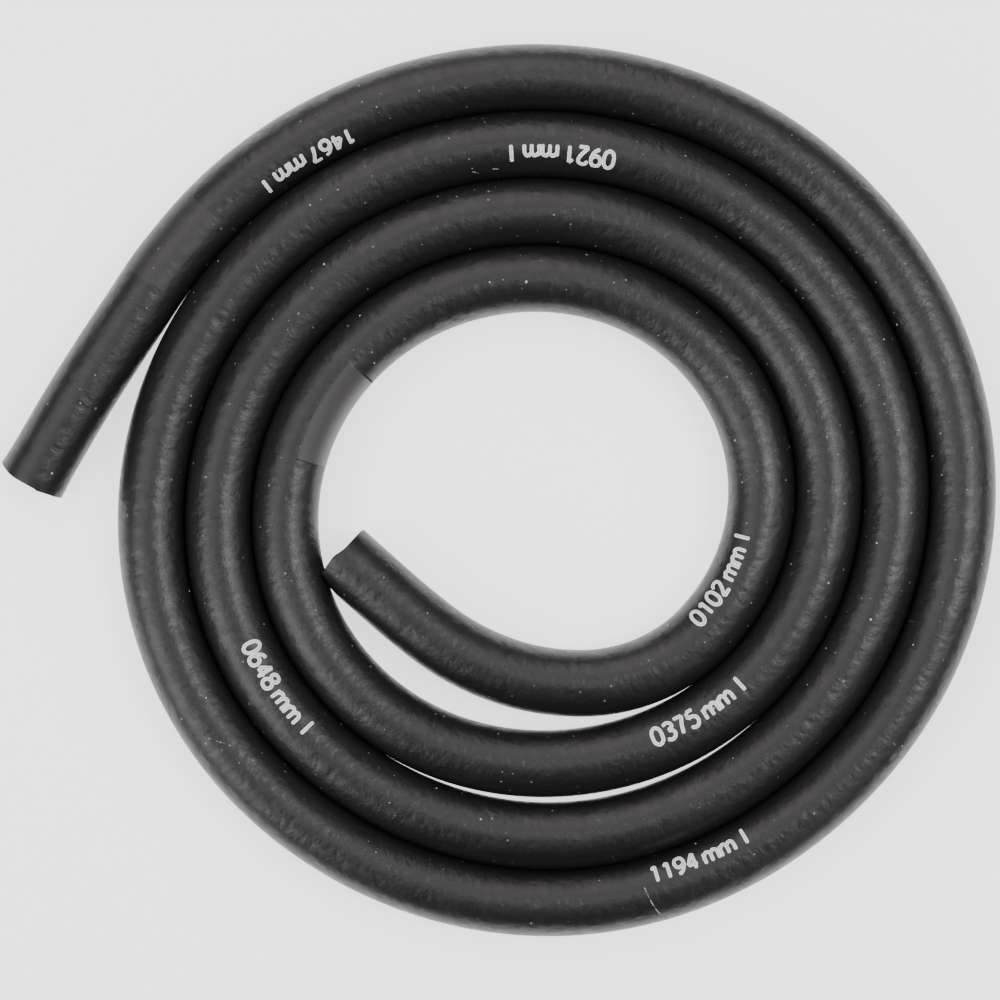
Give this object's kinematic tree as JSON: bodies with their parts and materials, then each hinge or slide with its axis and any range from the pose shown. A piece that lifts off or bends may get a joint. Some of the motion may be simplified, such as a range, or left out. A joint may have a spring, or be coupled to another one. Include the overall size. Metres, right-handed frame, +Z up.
{
  "type": "fuel hose",
  "caption": "Length of black rubber hose with a plain open bore and cut ends, lying on the floor as a flat spiral coil.",
  "frame": {"origin": "middle of the coil's outline, on the floor", "axes": "+Z up; the outer end points towards -Y, the inner end towards -X"},
  "size_m": [0.1802, 0.1734, 0.0128],
  "materials": {
    "rubber": "moulded black rubber with a faint cloth grain, satin"
  },
  "bodies": {
    "root": {"hose": "rubber"}
  },
  "joints": []
}
